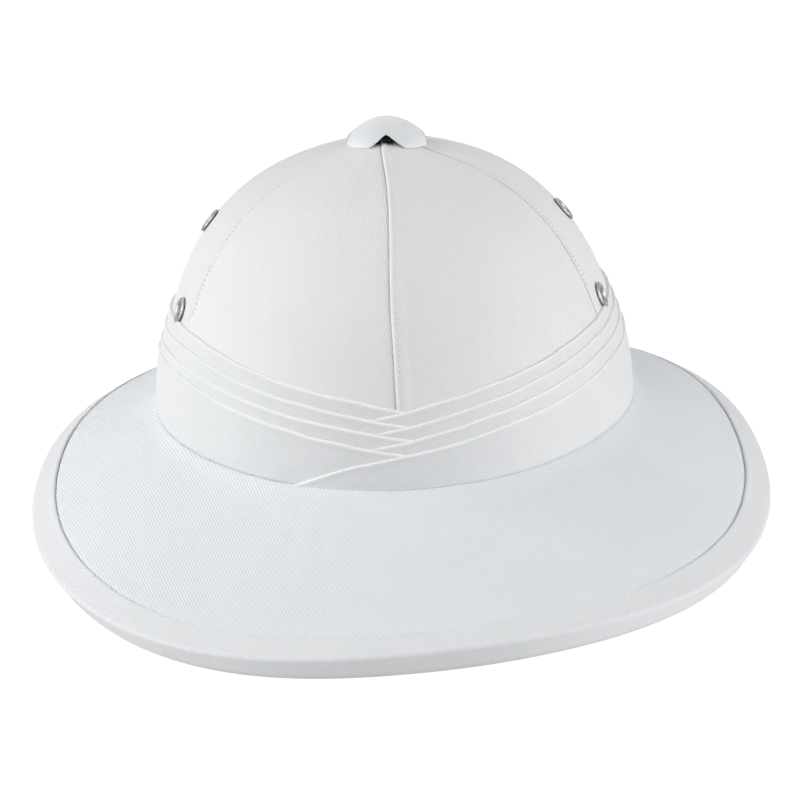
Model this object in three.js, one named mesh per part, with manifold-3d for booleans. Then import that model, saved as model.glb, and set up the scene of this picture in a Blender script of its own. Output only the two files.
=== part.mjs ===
// White pith sun helmet: a domed pith crown under six cloth gores, a wide bound brim,
// a pleated puggaree, four ventilation eyelets and a four-arched ventilator cap.
// Millimetres, +Z up, front of the helmet towards -Y. Names say left for -X and right for
// +X, as seen from in front. Angles round the helmet start at the front and grow towards +X.
import * as THREE from "three";
import { mergeVertices } from "three/addons/utils/BufferGeometryUtils.js";
import Module from "manifold-3d";

const wasm = await Module();
wasm.setup();

// ---------- driving dimensions ----------
const GAP = 0.3; // running gap between neighbouring pieces

// Crown: outer face of the cloth. Heights are above the front of the brim joint.
const CROWN = {
  halfWidth: 91.2,
  halfLength: 111.9,
  dome: 91.9, // height of the rounded part
  peak: 12.7, // extra rise of the pointed top
  shoulder: 0.602, // power of the plan taper
  rise: 1.083, // power of the height
};
const CLOTH = 1.0; // cover cloth
const SHELL_OUT = 1.5; // pith face below the cloth face
const SHELL_IN = 6.8; // inside of the pith below the cloth face
const SEAMS = [-180, -115, -65, 0, 65, 115, 180]; // seam angles between the gores
const CROWN_ROWS = [0, 7, 15, 25, 37, 50, 63, 75, 84]; // latitudes of the crown rows
const VENT_RADIUS = 8.2; // hole in the top of the crown

// Joint of crown and brim, above its own front.
const JOINT = { sideLift: 2.0, lean: -1.4 };

// Brim: widths out from the joint, and the wavy height of its rim round the helmet.
const BRIM = {
  side: 53.9,
  front: 81.7,
  back: 72.3,
  squareness: 2.15,
  skew: -1.45,
  core: 6.8, // thickness of the covered pith
  frontFlare: 0.48, // how early the front falls away from the joint
  sideFlare: -0.36,
};
const RIM_MEAN = -29.9;
const RIM_WAVES = [
  { turns: 1, cos: -2.3, sin: -1.2 },
  { turns: 2, cos: 0.3, sin: 1.5 },
  { turns: 3, cos: 3.0, sin: 0.8 },
  { turns: 4, cos: -0.4, sin: 1.1 },
];

// Binding tape folded over the rim.
const TAPE = { thick: 1.0, top: 11.8, under: 11.0, edge: 9.4, topRound: 0.8, underRound: 3.0 };
const REST_FLAT = 0.5; // depth of the flat worn on the lowest part of the binding

// Puggaree: heights of the folded edges at the front, side and back.
const PLEATS = {
  left: [
    { front: 27.0, side: 46.5, back: 44.5 },
    { front: 22.0, side: 40.7, back: 39.3 },
    { front: 17.6, side: 35.0, back: 33.5 },
    { front: 12.0, side: 31.0, back: 29.0 },
  ],
  right: [
    { front: 26.0, side: 41.8, back: 44.5 },
    { front: 20.7, side: 37.3, back: 39.3 },
    { front: 16.0, side: 32.0, back: 33.5 },
    { front: 11.3, side: 26.2, back: 29.0 },
  ],
};
const PLEAT_SWEEP = 1.6; // power of the rise from the front to the side
const BAND = { inner: 0.35, low: 1.3, fold: 2.1, bottom: 1.6 }; // offsets from the cloth

// Eyelets: angle round the crown and height of the centre.
const EYELETS = [
  { name: "eyelet_left_lower", angle: -73.5, height: 46.5 },
  { name: "eyelet_left_upper", angle: -94, height: 72.5 },
  { name: "eyelet_right_lower", angle: 72, height: 43.5 },
  { name: "eyelet_right_upper", angle: 88, height: 71 },
];
const EYELET = { flange: 5.0, bore: 2.6, barrel: 3.1, rise: 1.1, washer: 4.6, clear: 0.9 };

// Ventilator: a pressed cap on four feet over a collar in the vent hole.
// The cap sits a little to the right of the crown's own axis.
const CAP = {
  radius: 15.8,
  top: 110.6,
  foot: 100.2,
  sheet: 1.0,
  archHalf: 5.9,
  archTop: 106.2,
  shift: 2.2,
};
const COLLAR = { flange: 10.4, outer: 7.9, inner: 6.6, sheet: 0.8, drop: 8 };

const STEP = 7.5; // degrees between stations round the brim
const CROWN_STEP = 12; // degrees between stations round the pith shell

// ---------- surfaces ----------
const rad = THREE.MathUtils.degToRad;
const vec = (x, y, z) => new THREE.Vector3(x, y, z);

// Point of the crown's cloth face at an angle and latitude, in degrees.
function crownBase(angle, latitude) {
  const taper = Math.cos(rad(latitude)) ** CROWN.shoulder;
  const z = CROWN.dome * Math.sin(rad(latitude)) ** CROWN.rise + CROWN.peak * (1 - taper) ** 2;
  return vec(
    CROWN.halfWidth * taper * Math.sin(rad(angle)),
    -CROWN.halfLength * taper * Math.cos(rad(angle)),
    z,
  );
}

// Outward normal of the crown.
function crownNormal(angle, latitude) {
  const low = Math.max(latitude, 0.5);
  const along = crownBase(angle + 0.1, low).sub(crownBase(angle - 0.1, low));
  const up = crownBase(angle, low + 0.1).sub(crownBase(angle, low - 0.1));
  return along.cross(up).normalize();
}

// Crown point moved out along the normal.
function crownPoint(angle, latitude, offset) {
  return crownBase(angle, latitude).addScaledVector(crownNormal(angle, latitude), offset);
}

// Latitude at which the crown reaches a height, found by halving the interval.
function latitudeAt(height) {
  let low = 0;
  let high = 89;
  for (let i = 0; i < 40; i++) {
    const middle = (low + high) / 2;
    if (crownBase(0, middle).z < height) low = middle;
    else high = middle;
  }
  return (low + high) / 2;
}

// Latitude at which the crown's half width has shrunk to a radius.
function latitudeOfRadius(radius) {
  const cosine = (radius / CROWN.halfWidth) ** (1 / CROWN.shoulder);
  return THREE.MathUtils.radToDeg(Math.acos(cosine));
}

// Height of the joint between crown and brim.
function jointHeight(angle) {
  const side = Math.sin(rad(angle));
  const lift = Math.cos(rad(angle)) > 0 ? side ** 2 : 1;
  return JOINT.sideLift * lift + JOINT.lean * side;
}

function rimHeight(angle) {
  return RIM_WAVES.reduce(
    (sum, wave) =>
      sum + wave.cos * Math.cos(rad(wave.turns * angle)) + wave.sin * Math.sin(rad(wave.turns * angle)),
    RIM_MEAN,
  );
}

// Rim in plan: a slightly squared oval, longer in front than behind.
function rimPoint(angle) {
  const sine = Math.sin(rad(angle));
  const cosine = Math.cos(rad(angle));
  const power = 2 / BRIM.squareness;
  const reach = CROWN.halfLength + (cosine > 0 ? BRIM.front : BRIM.back);
  const x = (CROWN.halfWidth + BRIM.side) * Math.sign(sine) * Math.abs(sine) ** power;
  const y = -reach * Math.sign(cosine) * Math.abs(cosine) ** power;
  return vec(x + BRIM.skew * Math.sin(2 * rad(angle)), y, rimHeight(angle));
}

function jointPoint(angle, inset = 0) {
  return vec(
    (CROWN.halfWidth - inset) * Math.sin(rad(angle)),
    -(CROWN.halfLength - inset) * Math.cos(rad(angle)),
    jointHeight(angle),
  );
}

// Upper face of the brim: share 0 at the joint, 1 at the rim.
function brimBase(angle, share) {
  const joint = jointPoint(angle);
  const rim = rimPoint(angle);
  const ahead = Math.max(Math.cos(rad(angle)), 0) ** 2;
  const flare = BRIM.sideFlare + (BRIM.frontFlare - BRIM.sideFlare) * ahead;
  const fall = share + flare * share * (1 - share);
  return vec(
    joint.x + (rim.x - joint.x) * share,
    joint.y + (rim.y - joint.y) * share,
    joint.z + (rim.z - joint.z) * fall,
  );
}

// Brim point given its distance in from the rim, moved along the upward normal.
function rimward(angle, inset, offset) {
  const width = rimPoint(angle).distanceTo(jointPoint(angle));
  const share = 1 - inset / width;
  return brimPoint(angle, share, offset);
}

function brimPoint(angle, share, offset) {
  const out = brimBase(angle, share + 0.01).sub(brimBase(angle, share - 0.01));
  const round = brimBase(angle + 0.5, share).sub(brimBase(angle - 0.5, share));
  const normal = out.cross(round).normalize();
  if (normal.z < 0) normal.negate();
  return brimBase(angle, share).addScaledVector(normal, offset);
}

// ---------- solids ----------
function range(from, to, step) {
  const count = Math.max(1, Math.round((to - from) / step));
  return Array.from({ length: count + 1 }, (_, i) => from + ((to - from) * i) / count);
}

// Solid through a row of closed profiles. A ring joins its last profile to its first; an
// open run is capped by strips between the first half of the profile and the second.
function loft(profiles, ring) {
  const size = profiles[0].length;
  const at = (i, j) => (i % profiles.length) * size + (j % size);
  const faces = [];
  const quad = (a, b, c, d) => faces.push(a, b, c, a, c, d);
  const runs = ring ? profiles.length : profiles.length - 1;
  for (let i = 0; i < runs; i++) {
    for (let j = 0; j < size; j++) {
      quad(at(i, j), at(i + 1, j), at(i + 1, j + 1), at(i, j + 1));
    }
  }
  if (!ring) {
    const last = profiles.length - 1;
    for (let j = 0; j < size / 2 - 1; j++) {
      quad(at(0, j), at(0, j + 1), at(0, size - 2 - j), at(0, size - 1 - j));
      quad(at(last, j + 1), at(last, j), at(last, size - 1 - j), at(last, size - 2 - j));
    }
  }
  const geometry = new THREE.BufferGeometry();
  const points = profiles.flat().flatMap((p) => [p.x, p.y, p.z]);
  geometry.setAttribute("position", new THREE.Float32BufferAttribute(points, 3));
  geometry.setIndex(faces);
  return facingOut(geometry);
}

function facingOut(geometry) {
  const p = geometry.attributes.position;
  const index = geometry.index.array;
  const [a, b, c] = [vec(), vec(), vec()];
  let volume = 0;
  for (let i = 0; i < index.length; i += 3) {
    a.fromBufferAttribute(p, index[i]);
    b.fromBufferAttribute(p, index[i + 1]);
    c.fromBufferAttribute(p, index[i + 2]);
    volume += a.dot(b.cross(c));
  }
  if (volume < 0) {
    for (let i = 0; i < index.length; i += 3) {
      [index[i + 1], index[i + 2]] = [index[i + 2], index[i + 1]];
    }
  }
  return geometry;
}

function toSolid(geometry) {
  const bare = geometry.clone();
  bare.deleteAttribute("normal");
  bare.deleteAttribute("uv");
  const merged = mergeVertices(bare, 1e-4);
  return new wasm.Manifold(
    new wasm.Mesh({
      numProp: 3,
      vertProperties: new Float32Array(merged.attributes.position.array),
      triVerts: new Uint32Array(merged.index.array),
    }),
  );
}

function toGeometry(solid) {
  const mesh = solid.getMesh();
  const geometry = new THREE.BufferGeometry();
  geometry.setAttribute("position", new THREE.BufferAttribute(mesh.vertProperties, 3));
  geometry.setIndex(new THREE.BufferAttribute(mesh.triVerts, 1));
  geometry.computeVertexNormals();
  return geometry;
}

// Cuts a list of tool geometries out of a geometry.
function cut(geometry, tools) {
  return toGeometry(tools.reduce((solid, tool) => solid.subtract(toSolid(tool)), toSolid(geometry)));
}

// ---------- eyelets ----------
// Frame of an eyelet: centre on the cloth face, local +Z out of the crown.
function eyeletFrame({ angle, height }) {
  const latitude = latitudeAt(height);
  const turn = new THREE.Quaternion().setFromUnitVectors(vec(0, 0, 1), crownNormal(angle, latitude));
  return new THREE.Matrix4().compose(crownBase(angle, latitude), turn, vec(1, 1, 1));
}

function eyeletTool(eyelet, radius, from, to) {
  const tool = new THREE.CylinderGeometry(radius, radius, to - from, 16);
  tool.rotateX(Math.PI / 2).translate(0, 0, (from + to) / 2);
  return tool.applyMatrix4(eyeletFrame(eyelet));
}

// Rolled flange outside, barrel through the wall, clenched washer inside.
function eyeletGeometry() {
  const inside = -SHELL_IN - EYELET.clear;
  const profile = [
    [EYELET.bore, inside - 0.8],
    [EYELET.washer, inside - 0.8],
    [EYELET.washer, inside],
    [EYELET.barrel, inside],
    [EYELET.barrel, GAP],
    [EYELET.flange - 0.4, GAP],
    [EYELET.flange, GAP + 0.4],
    [EYELET.flange - 0.7, GAP + EYELET.rise],
    [EYELET.bore + 0.7, GAP + EYELET.rise],
    [EYELET.bore, GAP + 0.4],
    [EYELET.bore, inside - 0.8],
  ];
  const points = profile.map(([r, z]) => new THREE.Vector2(r, z));
  return new THREE.LatheGeometry(points, 12).rotateX(Math.PI / 2);
}

// ---------- crown ----------
// Closed wall profile between two offsets, up to a radius at the top; its lowest row
// follows the brim joint.
function wallProfile(angle, outer, inner, topRadius, inset = () => 0) {
  const crownRows = [...CROWN_ROWS, latitudeOfRadius(topRadius)];
  const row = (latitude, offset) => {
    const point = crownPoint(angle + inset(latitude), latitude, offset);
    if (latitude === 0) point.z = jointHeight(angle) + GAP;
    return point;
  };
  const face = crownRows.map((latitude) => row(latitude, -outer));
  const back = crownRows.map((latitude) => row(latitude, -inner));
  return [...face, ...back.reverse()];
}

function shellGeometry() {
  const stations = range(-180, 180, CROWN_STEP).slice(0, -1);
  const body = loft(
    stations.map((angle) => wallProfile(angle, SHELL_OUT, SHELL_IN, VENT_RADIUS / 2)),
    true,
  );
  const vent = new THREE.CylinderGeometry(VENT_RADIUS, VENT_RADIUS, 60, 24);
  vent.rotateX(Math.PI / 2).translate(0, 0, CROWN.dome);
  const holes = EYELETS.map((eyelet) => eyeletTool(eyelet, EYELET.barrel + GAP, -12, 4));
  return cut(body, [vent, ...holes]);
}

// One cloth gore between two seams, drawn in by half the gap at each seam.
function goreGeometry(from, to) {
  const middle = (from + to) / 2;
  const half = (to - from) / 2;
  const profiles = range(from, to, 6.5).map((angle) => {
    const inset = (latitude) => {
      const radius = CROWN.halfWidth * Math.cos(rad(latitude)) ** CROWN.shoulder;
      const pull = THREE.MathUtils.radToDeg(GAP / 2 / radius);
      return (pull * (middle - angle)) / half;
    };
    return wallProfile(angle, 0, CLOTH, VENT_RADIUS + 0.6, inset);
  });
  const tools = EYELETS.filter(({ angle }) => angle > from && angle < to).map((eyelet) =>
    eyeletTool(eyelet, EYELET.barrel + GAP, -6, 4),
  );
  const body = loft(profiles, false);
  return tools.length ? cut(body, tools) : body;
}

// ---------- brim ----------
function brimProfile(angle) {
  const inner = jointPoint(angle, SHELL_IN);
  const drop = (share) => -(TAPE.thick + GAP) * Math.min(1, share / 0.75);
  const edge = TAPE.thick + GAP;
  const low = edge + BRIM.core;
  const top = [0, 0.25, 0.5, 0.75].map((share) => brimPoint(angle, share, drop(share)));
  const under = [0.75, 0.5, 0.25, 0].map((share) => brimPoint(angle, share, drop(share) - BRIM.core));
  under[3] = jointPoint(angle).add(vec(0, 0, -BRIM.core));
  return [
    inner,
    ...top,
    rimward(angle, edge + 2.4, -edge),
    rimward(angle, edge + 0.6, -edge),
    rimward(angle, edge, -edge - 0.7),
    rimward(angle, edge, -low + 2.2),
    rimward(angle, edge + 0.8, -low + 0.7),
    rimward(angle, edge + 2.4, -low),
    ...under,
    inner.clone().add(vec(0, 0, -BRIM.core)),
  ];
}

// Folded tape: out over the upper face, round the edge and back under.
function tapeProfile(angle) {
  const { thick, top, under, edge, topRound, underRound } = TAPE;
  const outside = [
    [top, 0],
    [topRound, 0],
    [0.2, -0.2],
    [0, -topRound],
    [0, -edge + underRound],
    [0.9, -edge + 0.9],
    [underRound, -edge],
    [under, -edge],
  ];
  const inside = [
    [under, -edge + thick],
    [underRound + 0.2, -edge + thick],
    [thick + 0.6, -edge + thick + 0.6],
    [thick, -edge + underRound],
    [thick, -thick - 0.5],
    [thick + 0.4, -thick],
    [top, -thick],
  ];
  return [...outside, ...inside].map(([inset, offset]) => rimward(angle, inset, offset));
}

const brimStations = range(-180, 180, STEP).slice(0, -1);

// The binding lies flattened where the helmet stands on it.
function bindingGeometry() {
  const body = loft(brimStations.map(tapeProfile), true);
  body.computeBoundingBox();
  const floor = body.boundingBox.min.z + REST_FLAT;
  const slab = new THREE.BoxGeometry(600, 600, 20).translate(0, 0, floor - 10);
  return cut(body, [slab]);
}

// ---------- puggaree ----------
function foldHeight({ front, side, back }, angle) {
  const away = Math.abs(angle);
  if (away > 90) return THREE.MathUtils.lerp(side, back, THREE.MathUtils.smoothstep(away, 90, 180));
  return front + (side - front) * (1 - (1 - away / 90) ** PLEAT_SWEEP);
}

// Stepped face: each fold stands proud and slopes in to the next one below.
function pleatProfile(folds, angle) {
  const heights = folds.map((fold) => foldHeight(fold, angle));
  const foot = jointHeight(angle) + GAP;
  const rows = [
    [heights[0], BAND.fold],
    [heights[1] + 0.4, BAND.low],
    [heights[1], BAND.fold],
    [heights[2] + 0.4, BAND.low],
    [heights[2], BAND.fold],
    [heights[3] + 0.4, BAND.low],
    [heights[3], BAND.fold],
    [(heights[3] + foot) / 2, BAND.bottom],
    [foot, BAND.bottom],
  ];
  const at = (height, offset) => crownPoint(angle, latitudeAt(Math.max(height, 0.3)), offset);
  const face = rows.map(([height, offset]) => at(height, offset));
  const back = rows.map(([height]) => at(height, BAND.inner));
  face[8].z = foot;
  back[8].z = foot;
  return [...face, ...back.reverse()];
}

function pleatGeometry(folds, from, to) {
  const body = loft(range(from, to, 6).map((angle) => pleatProfile(folds, angle)), false);
  const tools = EYELETS.filter(({ angle, height }) => angle > from && angle < to && height < 60).map(
    (eyelet) => eyeletTool(eyelet, EYELET.flange + GAP, -4, 6),
  );
  return cut(body, tools);
}

// ---------- ventilator ----------
// The rounded top of the crown as a solid, a running gap above the cloth.
function crownTop() {
  const face = range(78, 90, 2).map((latitude) => {
    const taper = Math.cos(rad(latitude)) ** CROWN.shoulder;
    return new THREE.Vector2(CROWN.halfWidth * taper, crownBase(90, latitude).z + GAP);
  });
  face.at(-1).x = 0;
  const low = face[0].y - 10;
  const outline = [new THREE.Vector2(0, low), new THREE.Vector2(face[0].x, low), ...face];
  const solid = new THREE.LatheGeometry(outline, 32).rotateX(Math.PI / 2);
  return solid.scale(1, CROWN.halfLength / CROWN.halfWidth, 1);
}

// Pressed dome of even sheet standing on the crown, cut by two crossing arched passages.
function capGeometry() {
  const height = CAP.top - CAP.foot;
  const sphere = (CAP.radius ** 2 + height ** 2) / (2 * height);
  const span = Math.asin(CAP.radius / sphere);
  const arc = (radius, from, to) =>
    range(from, to, (to - from) / 6).map(
      (angle) => new THREE.Vector2(radius * Math.sin(angle), CAP.top - sphere + radius * Math.cos(angle)),
    );
  const outer = arc(sphere, 0, span);
  const inner = arc(sphere - CAP.sheet, span, 0);
  outer[0].x = 0;
  inner.at(-1).x = 0;
  const dome = new THREE.LatheGeometry([...outer, ...inner].reverse(), 24).rotateX(Math.PI / 2);
  const arch = new THREE.Shape();
  arch.moveTo(-CAP.archHalf, 0);
  arch.lineTo(CAP.archHalf, 0);
  arch.absellipse(0, 0, CAP.archHalf, CAP.archTop - CAP.foot, 0, Math.PI, false, 0);
  const across = new THREE.ExtrudeGeometry(arch, { depth: 60, bevelEnabled: false, curveSegments: 8 });
  across.translate(0, 0, -30).rotateX(Math.PI / 2).translate(0, 0, CAP.foot);
  const below = new THREE.BoxGeometry(2 * CAP.archHalf, 60, 8).translate(0, 0, CAP.foot - 3.999);
  const turned = (geometry) => geometry.clone().rotateZ(Math.PI / 2);
  const seat = crownTop().translate(-CAP.shift, 0, 0);
  const cap = cut(dome, [across, below, turned(across), turned(below), seat]);
  return cap.translate(CAP.shift, 0, 0);
}

// Flanged tube lining the vent hole.
function collarGeometry() {
  const seat = crownBase(90, latitudeOfRadius(COLLAR.outer)).z + GAP + 0.2;
  const fall = 0.3 * (COLLAR.flange - COLLAR.outer);
  const profile = [
    [COLLAR.inner, seat - COLLAR.drop],
    [COLLAR.outer, seat - COLLAR.drop],
    [COLLAR.outer, seat],
    [COLLAR.flange, seat - fall + 0.5],
    [COLLAR.flange, seat - fall + 0.5 + COLLAR.sheet],
    [COLLAR.outer, seat + COLLAR.sheet + 0.6],
    [COLLAR.inner, seat + COLLAR.sheet + 0.6],
    [COLLAR.inner, seat - COLLAR.drop],
  ];
  const points = profile.map(([r, z]) => new THREE.Vector2(r, z));
  return new THREE.LatheGeometry(points, 24).rotateX(Math.PI / 2);
}

// ---------- materials ----------
const cloth = new THREE.MeshStandardMaterial({ color: 0xe9edef, roughness: 0.9, metalness: 0 });
const band = new THREE.MeshStandardMaterial({ color: 0xe6eaec, roughness: 0.9, metalness: 0 });
const tape = new THREE.MeshStandardMaterial({ color: 0xe4e8ea, roughness: 0.9, metalness: 0 });
const pith = new THREE.MeshStandardMaterial({ color: 0xd9cdb4, roughness: 0.95, metalness: 0 });
const nickel = new THREE.MeshStandardMaterial({ color: 0x9a9ea1, roughness: 0.35, metalness: 1 });
const paint = new THREE.MeshStandardMaterial({ color: 0xe8ecee, roughness: 0.45, metalness: 0 });
const black = new THREE.MeshStandardMaterial({ color: 0x26262a, roughness: 0.6, metalness: 0.4 });

// ---------- assembly ----------
const hat = new THREE.Group();

function add(name, geometry, material) {
  const mesh = new THREE.Mesh(geometry, material);
  mesh.name = name;
  hat.add(mesh);
  return mesh;
}

add("crown_shell", shellGeometry(), pith);

const GORE_NAMES = [
  "gore_back_left",
  "gore_side_left",
  "gore_front_left",
  "gore_front_right",
  "gore_side_right",
  "gore_back_right",
];
GORE_NAMES.forEach((name, i) => add(name, goreGeometry(SEAMS[i], SEAMS[i + 1]), cloth));

add("brim", loft(brimStations.map(brimProfile), true), cloth);
add("brim_binding", bindingGeometry(), tape);
add("puggaree_left", pleatGeometry(PLEATS.left, -179.9, -0.1), band);
add("puggaree_right", pleatGeometry(PLEATS.right, 0.1, 179.9), band);

EYELETS.forEach((eyelet) => {
  const mesh = add(eyelet.name, eyeletGeometry(), nickel);
  mesh.applyMatrix4(eyeletFrame(eyelet));
});

add("vent_collar", collarGeometry(), black);
add("vent_cap", capGeometry(), paint);

// Stand the helmet on the floor, centred on its own outline.
hat.updateMatrixWorld(true);
const box = new THREE.Box3().setFromObject(hat, true);
const centre = box.getCenter(vec());
hat.position.set(-centre.x, -centre.y, -box.min.z);

export default hat;
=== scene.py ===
"""White pith sun helmet: cloth gores over a pith crown, a bound brim, a pleated band of
eight folds, four metal eyelets and a ventilator cap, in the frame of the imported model.

Shapes are worked out in millimetres from the crown's own axis and the front of its joint
with the brim: x to the right as seen from in front, y backwards and z up. Angles start at
the front of the helmet and grow towards +X."""

import math

import bmesh
import bpy
import numpy as np
from mathutils import Matrix, Vector


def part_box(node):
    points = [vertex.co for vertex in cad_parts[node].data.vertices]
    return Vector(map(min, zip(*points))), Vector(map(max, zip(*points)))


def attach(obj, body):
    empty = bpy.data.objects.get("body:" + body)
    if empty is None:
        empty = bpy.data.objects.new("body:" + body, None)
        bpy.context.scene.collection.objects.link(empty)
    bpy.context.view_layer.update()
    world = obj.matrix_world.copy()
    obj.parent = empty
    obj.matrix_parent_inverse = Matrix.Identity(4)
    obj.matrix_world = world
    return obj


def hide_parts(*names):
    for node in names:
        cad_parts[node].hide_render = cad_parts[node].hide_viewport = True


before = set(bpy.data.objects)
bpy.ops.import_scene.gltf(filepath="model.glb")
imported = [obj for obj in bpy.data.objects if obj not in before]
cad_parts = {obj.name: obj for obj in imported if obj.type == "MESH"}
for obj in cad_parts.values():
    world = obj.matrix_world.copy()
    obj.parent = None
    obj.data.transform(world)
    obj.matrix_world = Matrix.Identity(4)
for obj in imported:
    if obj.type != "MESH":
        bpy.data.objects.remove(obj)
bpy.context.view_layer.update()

# ---------- sizes, in millimetres ----------
GAP = 0.3
CROWN_HALF_WIDTH, CROWN_HALF_LENGTH = 91.2, 111.9
DOME, PEAK, SHOULDER, RISE = 91.9, 12.7, 0.602, 1.083
PITH_OUT, PITH_IN = 1.5, 6.8  # pith faces below the cloth's face
SIDE_LIFT, LEAN = 2.0, -1.4
BRIM_SIDE, BRIM_FRONT, BRIM_BACK, SQUARENESS, SKEW = 53.9, 81.7, 72.3, 2.15, -1.45
BRIM_CORE, FRONT_FLARE, SIDE_FLARE = 6.8, 0.48, -0.36
# The brim's cloth: how far it sinks towards the tape and by which share of the brim, and
# how high and over which share it turns up against the band.
CLOTH_SINK, SUNK_BY = 0.5, 0.75
ROOT_RISE, ROOT_SHARE, ROOT_REACH = 1.2, 0.062, 5
# The rim's mean height below the joint, and its waves: turns round the rim, cosine, sine.
RIM_MEAN = -29.9
RIM_WAVES = [(1, -2.3, -1.5), (2, 0.3, 1.0), (3, 3.0, 0.4), (4, -0.4, 1.1)]
TAPE_TOP, TAPE_UNDER, TAPE_EDGE, TAPE_THICK = 11.8, 11.0, 9.4, 1.0
VENT_RADIUS = 8.2
GORE_WALL, FOLD_WALL, CAP_WALL = 0.8, 0.55, 0.9
STITCH_PITCH, STITCH_THICK, STITCH_ASIDE = 1.9, 0.3, 1.8
PITH_HOLE, CLOTH_HOLE = 4.3, 3.7  # radii left open round the eyelets

# Folds of the band: heights of the folded edges at the front, the side and the back.
LEFT_FOLDS = [(27, 46.5, 44.5), (22, 40.7, 39.3), (17.6, 35, 33.5), (12, 31, 29)]
RIGHT_FOLDS = [(26, 41.8, 44.5), (20.7, 37.3, 39.3), (16, 32, 33.5), (11.3, 26.2, 29)]
FOLD_SWEEP = 1.6

# Gores of the crown: first and last seam, and how high the folded edge at the first stands.
GORES = {
    "back_left": (-180, -115, 0.5),
    "side_left": (-115, -65, 0.1),
    "front_left": (-65, 0, 0.1),
    "front_right": (0, 65, 0.65),
    "side_right": (65, 115, 0.1),
    "back_right": (115, 180, 0.1),
}
# Eyelets: angle, and height above the joint.
EYELETS = {
    "left_lower": (-73.5, 46.5),
    "left_upper": (-94, 72.5),
    "right_lower": (72, 43.5),
    "right_upper": (88, 71),
}
CAP_RADIUS, CAP_TOP, CAP_FOOT, CAP_SHIFT = 15.8, 110.6, 100.2, 2.2
ARCH_HALF, ARCH_TOP = 7.0, 106.2

# The crown's axis and the front of its joint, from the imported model.
shell_low, shell_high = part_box("crown_shell")
JOINT_DIP = LEAN**2 / (4 * SIDE_LIFT)
ORIGIN = np.array(
    [
        (shell_low[0] + shell_high[0]) / 2,
        (shell_low[1] + shell_high[1]) / 2,
        shell_low[2] + (JOINT_DIP - GAP) / 1000,
    ]
)


# ---------- curves and faces of the helmet ----------
def ease(value, start, end):
    """0 before start, 1 after end, and the smooth cubic between them."""
    share = np.clip((value - start) / (end - start), 0, 1)
    return share * share * (3 - 2 * share)


def unit(vectors):
    """Vectors of length one."""
    return vectors / np.linalg.norm(vectors, axis=-1, keepdims=True)


def crown_base(angle, latitude):
    """A pointed dome on an ellipse: the plan shrinks as the cosine of the latitude to the
    power SHOULDER, and the height grows as its sine to the power RISE plus a small peak."""
    turn, lift = np.radians(angle), np.radians(latitude)
    taper = np.clip(np.cos(lift), 1e-9, 1) ** SHOULDER
    height = DOME * np.sin(lift) ** RISE + PEAK * (1 - taper) ** 2
    return np.stack(
        np.broadcast_arrays(
            CROWN_HALF_WIDTH * taper * np.sin(turn),
            -CROWN_HALF_LENGTH * taper * np.cos(turn),
            height,
        ),
        axis=-1,
    )


def crown_face(angle, latitude, offset=0.0):
    """The dome moved out by offset along its own normal."""
    inner = np.clip(latitude, 0.3, 89.5)
    round_it = crown_base(angle + 0.05, inner) - crown_base(angle - 0.05, inner)
    up_it = crown_base(angle, inner + 0.05) - crown_base(angle, inner - 0.05)
    normal = unit(np.cross(round_it, up_it))
    return crown_base(angle, latitude) + np.asarray(offset)[..., None] * normal


LATITUDES = np.linspace(0, 90, 1801)
HEIGHTS = crown_base(0.0, LATITUDES)[:, 2]


def latitude_at(height):
    """Latitude of the dome at a height."""
    return np.interp(height, HEIGHTS, LATITUDES)


def joint_height(angle):
    """Height of the line where the crown meets the brim."""
    turn = np.radians(angle)
    lift = np.where(np.cos(turn) > 0, np.sin(turn) ** 2, 1.0)
    return SIDE_LIFT * lift + LEAN * np.sin(turn)


def joint_line(angle, inset=0.0):
    """The crown's foot, drawn in by inset."""
    turn = np.radians(angle)
    x = (CROWN_HALF_WIDTH - inset) * np.sin(turn)
    y = -(CROWN_HALF_LENGTH - inset) * np.cos(turn)
    return np.stack(np.broadcast_arrays(x, y, joint_height(angle)), axis=-1)


def rim_line(angle):
    """The brim's outline: a slightly squared, skewed oval whose height goes in slow waves."""
    turn = np.radians(angle)
    sine, cosine = np.sin(turn), np.cos(turn)
    power = 2 / SQUARENESS
    reach = CROWN_HALF_LENGTH + np.where(cosine > 0, BRIM_FRONT, BRIM_BACK)
    x = (CROWN_HALF_WIDTH + BRIM_SIDE) * np.sign(sine) * np.abs(sine) ** power
    y = -reach * np.sign(cosine) * np.abs(cosine) ** power
    z = RIM_MEAN + sum(
        c * np.cos(n * turn) + s * np.sin(n * turn) for n, c, s in RIM_WAVES
    )
    return np.stack([x + SKEW * np.sin(2 * turn), y, z + 0 * x], axis=-1)


def brim_base(angle, share):
    """From the joint to the rim in plan, falling sooner or later as the flare says."""
    joint, rim = joint_line(angle), rim_line(angle)
    ahead = np.maximum(np.cos(np.radians(angle)), 0) ** 2
    flare = SIDE_FLARE + (FRONT_FLARE - SIDE_FLARE) * ahead
    fall = share + flare * share * (1 - share)
    plan = joint + (rim - joint) * np.asarray(share)[..., None]
    plan[..., 2] = joint[..., 2] + (rim - joint)[..., 2] * fall
    return plan


def brim_face(angle, share, offset=0.0):
    """The brim's top face, moved by offset along its upward normal."""
    angle, share = np.broadcast_arrays(np.asarray(angle, float), np.asarray(share, float))
    out = brim_base(angle, share + 0.01) - brim_base(angle, share - 0.01)
    along = brim_base(angle + 0.5, share) - brim_base(angle - 0.5, share)
    normal = unit(np.cross(out, along))
    normal = np.where(normal[..., 2:] < 0, -normal, normal)
    return brim_base(angle, share) + np.asarray(offset)[..., None] * normal


def from_rim(angle, inset, offset):
    """A point so many millimetres in from the rim and above the brim's face."""
    width = np.linalg.norm(rim_line(angle) - joint_line(angle), axis=-1)
    return brim_face(angle, 1 - inset / width, offset)


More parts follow.
